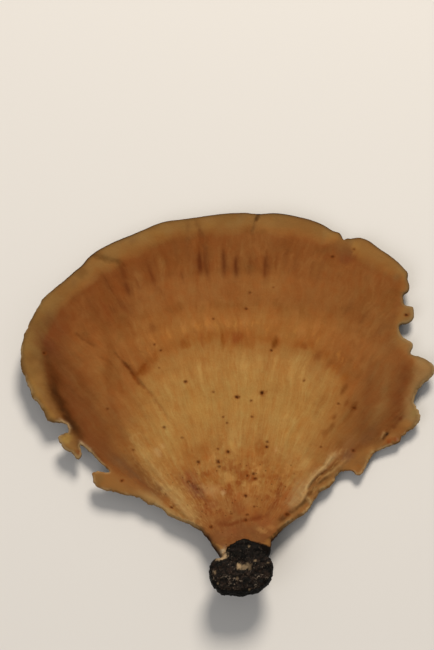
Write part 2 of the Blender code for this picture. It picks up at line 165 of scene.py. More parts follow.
# Soft stains: x, y, half width across the fibres, half length along them, strength and colour.
STAINS = (
    # Rust spots along the line where one season's growth ended.
    (-13.8, 18.9, 1.1, 1.5, 0.75, "#7a4317"), (-12.3, 18.7, 0.9, 1.5, 0.65, "#7f491a"),
    (-10.2, 19.5, 0.7, 1.9, 0.4, "#84501f"), (-7.9, 19.7, 0.7, 2.6, 0.8, "#7e481c"),
    (-5.7, 20.4, 1.5, 1.8, 0.65, "#84501f"), (-1.4, 20.3, 0.7, 3.2, 0.8, "#743e0f"),
    (-0.1, 21.0, 1.0, 2.6, 0.55, "#82481a"), (2.5, 20.4, 1.1, 2.7, 0.95, "#794019"),
    (4.3, 20.9, 1.0, 2.0, 0.9, "#7a4017"), (5.6, 19.3, 1.2, 1.8, 0.6, "#80491c"),
    (7.6, 19.5, 1.3, 1.9, 0.45, "#824c1e"), (10.6, 20.8, 1.8, 1.2, 0.35, "#84501f"),
    (13.1, 20.2, 1.4, 1.3, 0.4, "#824c1e"), (15.1, 19.5, 0.9, 2.0, 0.9, "#67360c"),
    (21.8, 18.4, 1.4, 1.3, 0.5, "#7b4519"), (23.7, 18.0, 1.5, 1.4, 0.7, "#713b12"),
    (28.3, 14.9, 1.3, 1.7, 0.7, "#713b14"), (31.8, 11.6, 1.2, 1.7, 0.6, "#74421a"),
    (36.1, 3.9, 0.9, 2.2, 0.85, "#6a3b15"), (-26.3, 10.4, 1.5, 1.6, 0.6, "#743d12"),
    (-22.4, 14.2, 1.6, 1.2, 0.4, "#7f4819"),
    # Thin stains in the pale middle and outside its right edge.
    (12.4, 11.6, 1.2, 2.2, 0.35, "#8a5122"), (-11.0, 9.6, 0.9, 2.4, 0.3, "#8a5122"),
    (-12.4, 3.6, 1.0, 1.8, 0.3, "#87541f"), (-5.6, 14.0, 0.8, 2.2, 0.25, "#87541f"),
    (36.8, -0.7, 0.7, 1.4, 0.6, "#6a3c16"), (32.9, -5.0, 0.7, 1.1, 0.75, "#6a3c16"),
    (32.0, -8.1, 0.8, 1.7, 0.75, "#6a3c16"), (39.1, -1.9, 0.7, 1.4, 0.6, "#5f3511"),
    (42.0, 13.6, 0.9, 2.0, 0.4, "#6a3d18"), (41.2, 8.6, 0.7, 2.0, 0.4, "#6a3d18"),
    (29.9, -10.2, 0.9, 1.1, 0.6, "#6e4018"), (34.6, -13.7, 1.2, 2.4, 0.5, "#6e4018"),
    (37.0, -5.3, 0.7, 2.0, 0.45, "#6e4018"), (38.9, 13.4, 0.7, 1.6, 0.35, "#6a3d18"),
    (30.3, 1.2, 0.8, 3.0, 0.25, "#7b4a1d"), (27.4, -3.4, 0.7, 2.4, 0.25, "#7b4a1d"),
    # Red-brown patches where the flesh is worn, near the stem.
    (-8.4, -16.2, 2.2, 2.8, 0.55, "#824b1b"), (-4.7, -24.5, 2.8, 2.6, 0.45, "#8a5222"),
    (-11.6, -20.6, 1.8, 3.2, 0.5, "#804a1c"), (5.4, -16.2, 2.4, 1.8, 0.45, "#8d5422"),
    (10.4, -14.9, 1.8, 2.2, 0.6, "#7e4718"), (13.0, -24.5, 2.6, 2.6, 0.4, "#8a5222"),
    (3.2, -30.8, 1.8, 1.5, 0.5, "#834920"), (-12.7, -16.4, 1.4, 2.4, 0.4, "#85501f"),
    (-1.8, -13.6, 1.2, 1.6, 0.4, "#87501f"), (16.6, -20.4, 2.2, 2.4, 0.3, "#8c5a28"),
    (7.0, -37.0, 3.0, 1.4, 0.35, "#7b431b"), (0.5, -43.0, 3.4, 1.4, 0.3, "#7d4b2b"),
    (-8.4, -29.0, 2.2, 2.6, 0.45, "#6f4630"), (-5.0, -33.4, 2.2, 2.0, 0.3, "#75482c"),
    # Straw patches there and further out.
    (-21.3, -16.3, 1.6, 1.5, 0.55, "#a98656"), (-19.7, -14.4, 1.0, 1.0, 0.5, "#a98656"),
    (-1.1, -29.4, 0.9, 1.0, 0.75, "#ad885a"), (1.4, -14.0, 0.9, 2.2, 0.5, "#a97c3f"),
    (14.9, -15.6, 0.7, 1.4, 0.55, "#ab8150"), (23.4, -20.3, 2.2, 2.2, 0.45, "#a37b45"),
    (-4.5, -28.5, 2.4, 1.8, 0.4, "#a0764a"), (-4.1, -18.1, 0.6, 1.6, 0.5, "#a37a44"),
    (0.2, -21.4, 0.6, 1.6, 0.45, "#a37a44"), (10.3, -42.2, 1.4, 0.9, 0.45, "#9a6f3f"),
    (12.8, -41.1, 1.2, 0.8, 0.4, "#95683a"), (17.6, -11.0, 3.0, 4.0, 0.35, "#9c7036"),
    (6.0, 6.0, 5.0, 6.0, 0.35, "#a0763d"), (-9.0, -2.0, 3.4, 6.0, 0.3, "#9f7439"),
    (-17.0, -12.0, 3.0, 6.0, 0.25, "#94703a"), (22.4, -3.0, 2.6, 6.0, 0.25, "#9c723a"),
    # Stains behind the margins and on them.
    (-55.6, 17.0, 2.6, 5.5, 0.5, "#633119"), (-54.0, 24.0, 2.4, 4.5, 0.4, "#6b3a1b"),
    (37.7, 48.1, 2.4, 2.2, 0.7, "#66361a"), (34.6, 51.4, 4.4, 2.6, 0.65, "#6b4421"),
    (31.5, 50.4, 2.2, 2.2, 0.4, "#65431f"), (53.6, 40.5, 1.5, 1.5, 0.55, "#6c4a28"),
    (52.0, -12.3, 0.5, 0.5, 0.5, "#9a8468"), (37.2, -17.0, 2.2, 2.4, 0.7, "#63402a"),
    (41.2, -20.2, 2.4, 2.6, 0.7, "#684727"), (40.2, -20.7, 0.9, 0.9, 0.5, "#7d4a18"),
    (54.4, -8.0, 1.5, 1.9, 0.6, "#80501f"), (57.6, -4.0, 1.6, 2.2, 0.6, "#7f663a"),
    (52.4, -9.6, 2.2, 1.8, 0.8, "#744821"), (-39.0, -25.8, 1.9, 1.5, 0.7, "#6f522c"),
    (-26.0, -13.4, 2.4, 3.0, 0.35, "#74481f"), (27.5, 10.5, 3.0, 4.0, 0.35, "#7f5228"),
    (29.0, -19.0, 2.4, 2.4, 0.4, "#89602f"), (3.4, 18.2, 5.0, 1.6, 0.4, "#84501f"),
    (37.6, -14.0, 2.6, 3.0, 0.5, "#7b5430"), (43.2, -11.6, 2.2, 3.0, 0.45, "#664429"),
    (24.4, -23.6, 1.6, 2.0, 0.55, "#875e2e"), (57.2, 28.6, 2.2, 3.0, 0.75, "#74552f"),
    (46.0, -12.8, 1.6, 2.4, 0.6, "#5f4020"), (52.0, 20.0, 2.0, 3.0, 0.35, "#704e2a"),
    (-45.2, -17.6, 0.8, 1.4, 0.6, "#6f3416"), (-43.8, -14.3, 1.2, 1.2, 0.5, "#683c1c"),
    (-49.2, -12.8, 1.7, 1.5, 0.75, "#8f723c"), (-46.3, 41.5, 2.0, 1.8, 0.6, "#694924"),
    (-53.9, -2.1, 1.6, 1.6, 0.4, "#6f4c2a"),
    # The last broad ones, dark beside the stem and soft in the outer field.
    (-11.6, -25.4, 2.4, 3.2, 0.7, "#743f22"), (10.6, -38.4, 2.8, 2.2, 0.6, "#763f1f"),
    (17.2, -31.4, 2.4, 3.6, 0.6, "#7a431e"), (11.5, 56.0, 1.2, 1.0, 0.3, "#6a421d"),
    (-8.0, 46.0, 3.0, 4.0, 0.35, "#6a3817"), (-16.0, 51.0, 5.0, 2.4, 0.35, "#6b3b19"),
    (51.6, 33.0, 2.4, 4.0, 0.45, "#70451d"), (14.5, -33.5, 2.6, 4.0, 0.55, "#7a4720"),
    (17.0, -39.6, 1.6, 2.0, 0.6, "#643c1a"), (10.0, -34.0, 3.4, 3.4, 0.3, "#84501f"),
    (20.5, -24.5, 2.6, 3.0, 0.3, "#8b5f2e"), (-30.5, -15.0, 3.4, 3.0, 0.4, "#76491f"),
    (-40.5, -13.0, 3.2, 4.0, 0.35, "#63381a"), (46.0, -11.0, 3.4, 3.0, 0.45, "#6e4522"),
    (45.0, -15.5, 3.0, 3.0, 0.35, "#7a4f26"), (41.0, -21.0, 3.0, 2.4, 0.3, "#7c5328"),
    (8.0, 39.0, 6.0, 6.0, 0.3, "#8a5b2c"), (16.0, 38.0, 5.0, 6.0, 0.3, "#8a5b2c"),
    (-19.0, 30.0, 5.0, 5.0, 0.25, "#77481f"), (-31.0, -6.0, 3.0, 5.0, 0.25, "#80522a"),
    (30.0, -31.0, 1.6, 1.6, 0.3, "#7f5a30"))
# Dark streaks in the outermost pores: x, upper y, lower x, lower y, half width, strength.
STREAKS = (
    (-9.0, 51.0, -8.4, 42.0, 0.65, 0.9), (-7.2, 51.0, -6.9, 42.0, 0.9, 0.5),
    (-6.6, 46.5, -6.2, 40.2, 0.45, 0.45), (-1.3, 51.8, -0.9, 40.8, 0.65, 1.1),
    (2.8, 49.0, 2.8, 40.8, 0.55, 0.9), (7.3, 48.5, 7.2, 41.0, 0.8, 0.45),
    (12.4, 49.5, 11.7, 40.4, 0.6, 0.85), (-34.0, 45.0, -31.8, 38.6, 0.75, 0.55),
    (-32.6, 40.6, -30.4, 34.0, 0.6, 0.6), (-30.4, 39.4, -29.6, 33.6, 0.4, 0.3),
    (-39.8, 42.0, -36.0, 34.8, 0.5, 0.45), (-28.7, 40.4, -27.2, 36.0, 0.45, 0.4),
    (-25.4, 46.0, -22.6, 37.6, 0.55, 0.4), (-22.8, 39.0, -19.8, 34.6, 0.4, 0.3),
    (-35.6, 34.2, -31.0, 28.8, 0.5, 0.4), (-37.4, 31.6, -34.8, 28.2, 0.5, 0.3),
    (-14.8, 43.4, -13.7, 38.8, 0.4, 0.35), (-13.0, 53.0, -12.0, 46.0, 0.6, 0.25),
    (-17.0, 52.0, -15.4, 44.6, 0.6, 0.22), (-19.6, 49.0, -18.4, 43.0, 0.45, 0.2),
    (16.0, 50.0, 15.4, 44.0, 0.4, 0.25), (19.4, 51.0, 18.4, 43.5, 0.45, 0.25),
    (22.6, 50.0, 21.0, 43.0, 0.4, 0.25), (27.6, 48.0, 26.0, 41.0, 0.4, 0.2),
    (30.2, 45.6, 28.0, 39.0, 0.4, 0.22), (40.0, 33.6, 36.6, 27.8, 0.45, 0.3),
    (45.0, 30.0, 41.0, 25.0, 0.5, 0.22), (-46.0, 22.0, -42.4, 18.0, 0.5, 0.28),
    (-44.0, 32.0, -40.4, 27.6, 0.5, 0.25), (-24.0, 26.0, -22.8, 22.4, 0.9, 0.35))
# Insect pits: x, y, radius and strength.
PITS = (
    (3.0, 1.5, 0.46, 1.0), (10.8, 2.8, 0.52, 1.0), (0.2, -16.2, 0.44, 0.95),
    (-2.9, -19.4, 0.44, 0.9), (-2.6, -21.0, 0.34, 0.8), (12.1, -14.6, 0.38, 0.85),
    (12.2, -13.0, 0.36, 0.65), (5.5, -30.5, 0.44, 0.85), (7.8, -23.3, 0.38, 0.75),
    (6.0, -24.0, 0.32, 0.7), (8.4, -24.9, 0.34, 0.75), (-13.1, 6.4, 0.36, 0.85),
    (-19.5, -8.4, 0.36, 0.6), (13.9, 16.8, 0.4, 0.75), (-22.6, 18.5, 0.34, 0.65),
    (-20.7, 16.6, 0.32, 0.65), (-2.9, -15.2, 0.3, 0.6), (-1.3, -5.1, 0.28, 0.6),
    (-0.1, -7.0, 0.28, 0.6), (7.6, -5.0, 0.32, 0.55), (7.3, 0.2, 0.3, 0.6),
    (-9.0, -19.4, 0.44, 0.7), (-9.0, -28.0, 0.4, 0.5), (-11.9, -25.8, 0.42, 0.65),
    (-6.5, -33.2, 0.3, 0.5), (1.0, -36.6, 0.3, 0.5), (5.8, -37.0, 0.32, 0.6),
    (5.4, -38.8, 0.42, 0.7), (-5.0, -41.0, 0.46, 0.8), (-16.9, -34.3, 0.4, 0.75),
    (-18.8, -30.0, 0.34, 0.65), (8.0, -34.2, 0.3, 0.5), (5.9, 30.6, 0.38, 0.65),
    (-4.4, 27.2, 0.32, 0.5), (7.1, 35.8, 0.32, 0.45), (14.7, 37.5, 0.32, 0.5),
    (33.3, 47.8, 0.4, 0.6), (40.3, 50.1, 0.34, 0.5), (-56.5, 14.7, 0.4, 0.8),
    (-32.0, -26.1, 0.4, 0.75), (-37.1, -2.6, 0.36, 0.5), (-28.9, -15.7, 0.34, 0.45),
    (23.8, 6.6, 0.34, 0.5), (39.1, -2.3, 0.42, 0.6), (38.5, -15.8, 0.42, 0.65),
    (34.2, -0.9, 0.34, 0.5), (-4.4, 3.1, 0.3, 0.45), (-21.2, 11.0, 0.28, 0.45),
    (-13.9, -11.7, 0.32, 0.4), (17.9, -36.6, 0.5, 0.8), (55.9, 27.9, 0.4, 1.0),
    (28.7, -14.6, 0.3, 0.5))

# Small pulls on the edge, which give its teeth and bays their reach: x, y, radius, and how far
# the flesh is drawn in x and in y.
PULLS = (
    (57.0, 38.0, 2.6, 0.5, 0.0), (54.9, 33.0, 1.5, 0.3, 0.0), (58.0, 28.1, 2.2, 0.7, 0.0),
    (58.7, 30.5, 1.2, 0.4, 0.5), (54.5, 24.5, 1.5, -0.4, 0.0), (55.2, 21.5, 1.5, 0.5, 0.5),
    (56.5, 18.3, 2.0, 0.6, 0.0), (63.0, 9.0, 4.0, 0.4, -0.1), (58.0, 1.5, 2.0, 0.5, 0.0),
    (59.0, -5.0, 3.0, 0.8, -0.2), (51.9, -12.2, 1.2, 0.5, -0.7), (44.0, -17.5, 2.5, -0.4, 0.3),
    (38.0, -23.5, 2.5, 0.0, 0.4), (-4.5, -46.0, 2.5, -0.5, 0.0), (-38.5, -24.0, 3.0, 0.0, 0.8),
    (-45.2, -16.6, 1.5, 0.4, 0.0), (-50.5, 39.0, 9.0, 0.35, -0.35), (-63.0, 12.0, 12.0, -0.3, 0.0),
    (35.4, 54.9, 1.7, 0.5, 1.0), (37.2, 54.3, 0.6, -0.2, -0.6), (38.3, 54.0, 0.6, 0.1, 0.3),
    (41.0, 53.6, 2.6, 0.0, 0.4))


def linear(code):
    """An sRGB hex colour as the linear RGBA that the shaders take."""
    shares = [int(code[start:start + 2], 16) / 255 for start in (1, 3, 5)]
    return [s / 12.92 if s <= 0.04045 else ((s + 0.055) / 1.055) ** 2.4 for s in shares] + [1.0]


MERGE_DISTANCE = 0.04  # a CAD solid is loose triangles, whose corners closer than this are one point


def rounded_copy(cad_node, name, levels):
    """A new piece that starts as a CAD solid, with its points merged and its facets rounded."""
    bpy.ops.object.select_all(action="DESELECT")
    piece = bpy.data.objects.new(name, cad_node.data.copy())
    piece.data.name = name
    bpy.context.scene.collection.objects.link(piece)
    bpy.context.view_layer.objects.active = piece
    piece.select_set(True)
    bpy.ops.object.mode_set(mode="EDIT")
    bpy.ops.mesh.select_all(action="SELECT")
    bpy.ops.mesh.remove_doubles(threshold=MERGE_DISTANCE * MM)
    bpy.ops.mesh.select_mode(type="FACE")
    bpy.ops.mesh.select_all(action="DESELECT")
    bpy.ops.object.mode_set(mode="OBJECT")
    rounding = piece.modifiers.new("Rounding", "SUBSURF")
    rounding.levels = levels
    rounding.render_levels = levels
    bpy.ops.object.modifier_apply(modifier=rounding.name)
    bpy.ops.object.shade_smooth()
    return piece


def numbers(things, field):
    """A vector field of a mesh's points or faces, one row each."""
    flat = np.empty(len(things) * 3)
    things.foreach_get(field, flat)
    return flat.reshape(-1, 3)


def divide(piece, chosen):
    """Divides the chosen faces in four, and keeps the surface smooth across them."""
    piece.data.polygons.foreach_set("select", chosen)
    bpy.ops.object.mode_set(mode="EDIT")
    bpy.ops.mesh.subdivide(number_cuts=1, smoothness=1.0, ngon=False)
    bpy.ops.mesh.select_all(action="DESELECT")
    bpy.ops.object.mode_set(mode="OBJECT")


def step(value, low, high):
    """0 below low, 1 above high, and smooth between them."""
    share = np.clip((value - low) / (high - low), 0.0, 1.0)
    return share * share * (3.0 - 2.0 * share)


def hump(value, width):
    """A bell: 1 where the value is 0, and close to 0 past twice the width."""
    return np.exp(-((value / width) ** 2))


SHUFFLED = np.random.default_rng(11).permutation(256)


def ripple(first, second, third, octaves=3):
    """Smooth noise, mostly within -1 to 1, one number for each place."""
    place = np.array(np.broadcast_arrays(first, second, third), dtype=float)
    total = 0.0
    for octave in range(octaves):
        cell = np.floor(place).astype(int)
        part = step(place - cell, 0.0, 1.0)
        for corner in itertools.product((0, 1), repeat=3):
            at = cell + np.array(corner)[:, None]
            code = SHUFFLED[(SHUFFLED[(SHUFFLED[at[0] & 255] + at[1]) & 255] + at[2]) & 255]
            share = np.prod(np.where(np.array(corner)[:, None] == 1, part, 1.0 - part), axis=0)
            total = total + share * (code / 127.5 - 1.0) * 0.6**octave
        place = place * 2.03 + 31.7
    return total


def from_line(x, y, line):
    """How far each point is from a line, positive on the right of the way it runs, and the share
    of the way along the line to its nearest place."""
    nearest = np.full(len(x), 1e9)
    side = np.ones(len(x))
    along = np.zeros(len(x))
    for number, ((x0, y0), (x1, y1)) in enumerate(zip(line, line[1:])):
        run_x, run_y = x1 - x0, y1 - y0
        share = ((x - x0) * run_x + (y - y0) * run_y) / (run_x**2 + run_y**2)
        share = np.clip(share, 0.0, 1.0)
        away = np.hypot(x - x0 - share * run_x, y - y0 - share * run_y)
        turn = (x - x0) * run_y - (y - y0) * run_x
        side = np.where(away < nearest, np.where(turn < 0.0, -1.0, 1.0), side)
        along = np.where(away < nearest, (number + share) / (len(line) - 1), along)
        nearest = np.minimum(nearest, away)
    return nearest * side, along


def store(mesh, name, values, kind="FLOAT"):
    """Keeps a number or a colour for each point of a mesh, which its material reads by name."""
    layer = mesh.attributes.new(name, kind, "POINT")
    field = "color" if kind == "FLOAT_COLOR" else "value"
    layer.data.foreach_set(field, np.ascontiguousarray(values, dtype=np.float32).ravel())


# The pore side is divided once more than the hidden top, and twice more where it holds a pit, a
# clear streak, the folds of the right crest or a narrow line.
UPWARDS = 0.2  # the least rise of a normal on the pore side
NARROW = 1.2  # the half width under which a line is narrow, in millimetres
CLEAR = 0.28  # the strength above which a streak is clear
FOLDED = 3.4  # the half width of the folds along the right crest
SPARE = 0.4  # how far round each such detail the faces are divided
cap = rounded_copy(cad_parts["cap"], "fan_cap", 1)
divide(cap, numbers(cap.data.polygons, "normal")[:, 2] > UPWARDS)
facing = numbers(cap.data.polygons, "normal")[:, 2]
x, y = numbers(cap.data.polygons, "center")[:, :2].T / MM
nearest = np.abs(from_line(x, y, RIGHT_CREST)[0]) - FOLDED
for half_width, rise, strength, colour, line in LINES:
    if half_width < NARROW:
        nearest = np.minimum(nearest, np.abs(from_line(x, y, line)[0]) - half_width - 0.2)
for top_x, top_y, foot_x, foot_y, half_width, strength in STREAKS:
    if strength > CLEAR:
        away = np.abs(from_line(x, y, ((top_x, top_y), (foot_x, foot_y)))[0])
        nearest = np.minimum(nearest, away - 0.5)
for pit_x, pit_y, radius, strength in PITS:
    nearest = np.minimum(nearest, np.hypot(x - pit_x, y - pit_y) - radius - 0.2)
divide(cap, (nearest < SPARE) & (facing > UPWARDS))
bpy.ops.object.shade_smooth()

points = numbers(cap.data.vertices, "co") / MM
normals = numbers(cap.data.vertex_normals, "vector")
x, y, z = points.T
reach = np.hypot(x - STEM_AT[0], y - STEM_AT[1])
angle = np.arctan2(x - STEM_AT[0], y - STEM_AT[1])  # 0 away from the stem, positive to the right
degrees = np.degrees(angle)
pore_side = step(normals[:, 2], 0.0, 0.35)

# How far each point is from the cap's edge in plan, and how far each point of the rim stands out
# from the rim round it: more than 0 on a tooth, and less than 0 in a notch.
UPRIGHT = 0.3  # the most that a normal of the rim rises or falls
SOCKET_REACH = 10.5  # nearer the stem than this is the socket's wall and not the rim
NEIGHBOURHOOD = 2.5
rim = np.flatnonzero((np.abs(normals[:, 2]) < UPRIGHT) & (reach > SOCKET_REACH))
rim_places = kdtree.KDTree(len(rim))
for index in rim:
    rim_places.insert((x[index], y[index], 0.0), index)
rim_places.balance()
found = [rim_places.find((point_x, point_y, 0.0)) for point_x, point_y in zip(x, y)]
edge = np.array([distance for place, index, distance in found])
rim_point = np.array([index for place, index, distance in found])
outwards = normals[:, :2] / np.maximum(np.hypot(normals[:, 0], normals[:, 1]), 1e-6)[:, None]
bulge = np.zeros(len(x))
for index in rim:
    near = rim_places.find_range((x[index], y[index], 0.0), NEIGHBOURHOOD)
    centre = np.mean([place for place, other, distance in near], axis=0)[:2]
    bulge[index] = (points[index, :2] - centre) @ outwards[index]

# What makes it uneven: patches about 11, 3 and 1 mm across, and then rays along the fibres, about
# 8, 3 and 1 mm wide at the growing edge.
patch = ripple(x * 0.09, y * 0.09, 1.0)
mottle = ripple(x * 0.33, y * 0.33, 2.0)
speckle = ripple(0.83 * x + 0.55 * y, 0.83 * y - 0.55 * x, 3.0)
bent = angle + 0.012 * patch + 0.004 * mottle
broad = ripple(bent * 14.0, reach * 0.035, 4.0)
smear = ripple(bent * 42.0, reach * 0.10, 5.0)
fibre = ripple(bent * 110.0, reach * 0.20, 6.0, 2)
# Lines and stains follow these places, which stray about half a millimetre from the real ones.
wander_x = x + 0.45 * ripple(x * 0.4, y * 0.4, 14.0, 2) + 0.12 * speckle
wander_y = y + 0.45 * ripple(x * 0.4, y * 0.4, 15.0, 2) + 0.12 * speckle

# The cap's zones, each as a share from 0 to 1 or as a distance in millimetres.
left_side = step(-degrees, 30.0, 40.0) * step(reach, 50.0, 62.0)
torn = step(np.abs(degrees - 2.0), 30.0, 44.0)
softness = 1.0 + 0.35 * step(degrees, -34.0, -22.0) * (1.0 - step(degrees, 42.0, 56.0))
inside = from_line(x, y, PORE_LIMIT)[0] + 0.5 * mottle + 0.4 * broad
margin = 1.0 - step(inside / softness, -1.2, 1.6)
middle = from_line(x, y, GROWTH_LINE)[0] + 0.7 * smear + 0.5 * mottle
away_from_stem = step(reach, 14.0, 32.0)

# Relief of the pore side, in millimetres: its ribs and ripples, the dips behind its margins, then
# the lines, the streaks and the pits.
relief = (0.05 * fibre + 0.08 * smear + 0.12 * broad) * away_from_stem * (1.0 - 0.85 * margin)
relief += 0.07 * ripple(reach * 0.2, angle * 1.5, 7.0) * away_from_stem
relief += margin * 0.3 * ripple(angle * 9.0, inside * 0.05, 8.0, 2)
relief += (0.07 * speckle + 0.16 * mottle) * (1.0 - 0.7 * away_from_stem)
relief -= (0.1 + 0.25 * left_side) * hump(inside - 1.2, 1.6)
relief += 0.3 * left_side * hump(inside + 3.6, 2.4)
relief -= 0.06 * hump(middle, 0.9) * step(y, -8.0, 6.0)
marks = []
for half_width, rise, strength, colour, line in LINES:
    sway = 0.5 * min(1.0, half_width**2)
    broken_up = 0.35 if half_width < 1.1 else 0.15
    away, along = from_line(x + sway * (wander_x - x), y + sway * (wander_y - y), line)
    width = half_width * (1.0 + 0.25 * smear + 0.15 * speckle)
    share = hump(away, width) * step(along, -0.12, 0.18) * (1.0 - step(along, 0.82, 1.12))
    relief += rise * share
    marks.append((strength * share * (0.9 + broken_up * speckle + 0.2 * fibre), colour))
streak_share = np.zeros(len(x))
for top_x, top_y, foot_x, foot_y, half_width, strength in STREAKS:
    run_x, run_y = foot_x - top_x, foot_y - top_y
    length = math.hypot(run_x, run_y)
    off_x, off_y = x - 0.5 * (top_x + foot_x), y - 0.5 * (top_y + foot_y)
    along = (off_x * run_x + off_y * run_y) / length
    across = (off_x * run_y - off_y * run_x) / length + 0.1 * mottle
    taper = half_width * np.clip(1.0 + 0.7 * along / length, 0.6, 1.4)
    core = hump(across, 1.15 * taper) * np.exp(-((2.3 * (along - 0.04 * length) / length) ** 4))
    halo = hump(across, 2.8 * half_width) * np.exp(-((2.2 * along / length) ** 2))
    streak = strength * (0.7 * core + 0.4 * halo) * (1.0 + 0.3 * smear)
    streak_share = np.maximum(streak_share, streak)
relief -= 0.12 * streak_share
pit_share = np.zeros(len(x))
pit_rim = np.zeros(len(x))
pit_depth = np.zeros(len(x))
for pit_x, pit_y, radius, strength in PITS:
    away = np.hypot(x - pit_x + 0.2 * speckle, 1.15 * (y - pit_y)) * (1.0 + 0.25 * speckle)
    inner = 1.0 - step(away, 0.4 * radius, 1.5 * radius)
    pit_share = np.maximum(pit_share, strength * inner)
    pit_rim = np.maximum(pit_rim, strength * (1.0 - step(away, 1.0 * radius, 2.6 * radius)))
    pit_depth = np.maximum(pit_depth, 0.7 * inner * radius * strength)
relief -= pit_depth

# The hidden top keeps its flat middle, which the cap rests on, so its wrinkles only go inwards.
wrinkles = 0.5 + 0.5 * np.clip(smear, -1.0, 1.0)
zones = 0.5 + 0.5 * np.sin(reach * 0.55 + 1.2 * patch)
back_relief = (0.16 * wrinkles + 0.1 * zones) * step(edge, 0.5, 5.0)
points[:, 2] += np.where(normals[:, 2] > 0.0, relief * pore_side, back_relief * (1.0 - pore_side))

# The edge is ragged where it was torn and gently uneven where it grew. Its teeth and notches,
# which the rounding has shortened, get their length back. The socket's wall stays as it is.
RAGGED_BAND = 1.6
near_edge = (1.0 - step(edge, 0.0, RAGGED_BAND)) * step(reach, 11.0, 14.0)
ragged = 0.18 * torn * ripple(x * 0.6, y * 0.6, 9.0) + 0.16 * torn * ripple(x * 1.5, y * 1.5, 11.0, 2)
ragged += 0.12 * ripple(x * 0.2, y * 0.2, 10.0, 2) + 0.1 * torn + 0.4 * bulge
points[:, :2] += outwards[rim_point] * (ragged[rim_point] * near_edge)[:, None]
for pull_x, pull_y, radius, way_x, way_y in PULLS:
    share = hump(np.hypot(x - pull_x, y - pull_y), radius)
    points[:, :2] += share[:, None] * (way_x, way_y)
cap.data.vertices.foreach_set("co", (points * MM).ravel())
cap.data.update()

# Its colours, painted from the broad zones down to the smallest marks. These are the distances
# of its growth zones from the stem.
OUTER_FIELD = 93.0  # the darkest brown, which has a sharp start straight away from the stem
SHARP_START = 97.5
LAST_SEASON = 85.5
STRAW_BAND = 55.0
paint = np.tile(linear("#774720")[:3], (len(x), 1))


def tint(share, colour):
    """Paints a colour over the points: 0 leaves a point as it is, and 1 covers it."""
    paint[:] += np.clip(share, 0.0, 1.0)[:, None] * (np.array(linear(colour)[:3]) - paint)


def tint_place(strength, turn, half_turn, away, half_away, colour):
    """Paints a soft patch round a direction from the stem, in degrees, and a distance from it."""
    tint(strength * hump(degrees - turn, half_turn) * hump(reach - away, half_away), colour)


# The brown outer field is lighter towards the pale middle and darker on both sides.
tint(step(OUTER_FIELD + 3.0 * patch + 2.0 * broad - reach, -4.0, 8.0), "#835126")
tint(0.6 * hump(degrees + 27.0, 11.0) * step(reach + 2.0 * broad, 84.0, 97.0), "#693a18")
tint(0.4 * step(-broad - 0.8 * patch, 0.1, 1.0), "#6e4019")
tint(0.4 * step(broad + patch, 0.0, 1.0), "#825429")
side = step(-degrees + 3.0 * broad, 31.0, 43.0) * step(reach, 34.0, 54.0)
tint(0.9 * side, "#693f1d")
side = step(degrees + 3.0 * broad, 26.0, 40.0) * step(reach, 34.0, 54.0)
tint(0.85 * side, "#6c4421")
tint(0.35 * torn * step(patch + 0.6 * broad, 0.1, 0.9), "#7f562b")
tint(0.35 * step(mottle, 0.3, 1.0) * (1.0 - margin), "#6c3e18")
straight_out = 1.0 - step(np.abs(degrees + 1.0), 13.0, 24.0)
tint(0.6 * step(SHARP_START + 0.6 * broad - reach, -1.5, 1.5) * straight_out, "#845328")
tint_place(0.4, 45.0, 6.0, 56.0, 10.0, "#64401f")
tint_place(0.35, -40.0, 6.0, 86.0, 9.0, "#643a1b")
tint_place(0.5, 36.0, 4.0, 95.0, 7.0, "#83592d")
tint_place(0.55, 40.0, 7.0, 92.0, 9.0, "#835a30")
tint_place(0.5, 24.0, 13.0, 95.0, 10.0, "#764c24")
# The last season's growth outside the rusty line, and the pale middle inside it.
ring = LAST_SEASON - reach + 0.9 * broad + 0.5 * mottle
centred = 1.0 - step(np.abs(degrees + 1.0), 15.0, 28.0)
tint(0.8 * step(ring, -6.0, 6.0) * centred, "#8b5a29")
tint(0.4 * hump(ring + 1.5, 1.6) * centred * step(smear, -0.2, 0.6), "#704219")
tint(0.4 * step(ring, 0.0, 4.0) * centred * step(fibre + smear, 0.2, 1.0), "#996534")
top_edge = step(y, -6.0, 8.0) * (1.0 - step(np.abs(degrees), 26.0, 34.0))
tint(step(middle, -6.0, 9.0) * (1.0 - top_edge) + step(middle, -1.5, 2.5) * top_edge, "#8d6130")
tint(0.9 * step(middle, 1.0, 13.0), "#976c37")
tint(0.45 * step(middle, 2.0, 8.0) * step(smear + 0.7 * patch, 0.1, 1.1), "#a47c44")
rays = (0.35 + 0.15 * step(degrees, 8.0, 28.0)) * step(-smear - 0.6 * mottle, 0.3, 1.1)
tint(rays * step(middle, 2.0, 8.0), "#88592a")
tint_place(0.3, 0.0, 26.0, STRAW_BAND, 8.0, "#947139")
rust = hump(middle + 0.3, 2.0) * top_edge
tint(rust * (0.24 + 0.45 * step(smear + 0.5 * fibre + 0.3 * mottle, 0.2, 0.9)), "#804717")
tint(0.5 * hump(middle + 4.0, 1.6) * top_edge * step(fibre + 0.5 * mottle, 0.2, 0.9), "#9c672f")
# Near the stem the flesh is worn, mottled red-brown and straw, and creamier on both its sides.
near_stem = (1.0 - step(reach + 2.0 * mottle, 30.0, 46.0)) * step(middle, -3.0, 6.0)
tint(0.8 * near_stem, "#865728")
tint(0.8 * near_stem * step(0.7 * speckle + 1.2 * mottle, 0.1, 0.9), "#753c15")
tint(0.6 * near_stem * step(-0.7 * speckle - 1.0 * mottle, 0.2, 1.0), "#a37943")
tint_place(0.45, -39.0, 8.0, 24.0, 10.0, "#87643a")
tint_place(0.45, 40.0, 8.0, 28.0, 10.0, "#805e38")
tint(0.6 * (1.0 - step(reach + mottle, 20.0, 30.0)), "#754825")
tint(0.7 * (1.0 - step(reach, 12.0, 20.0)), "#643c20")
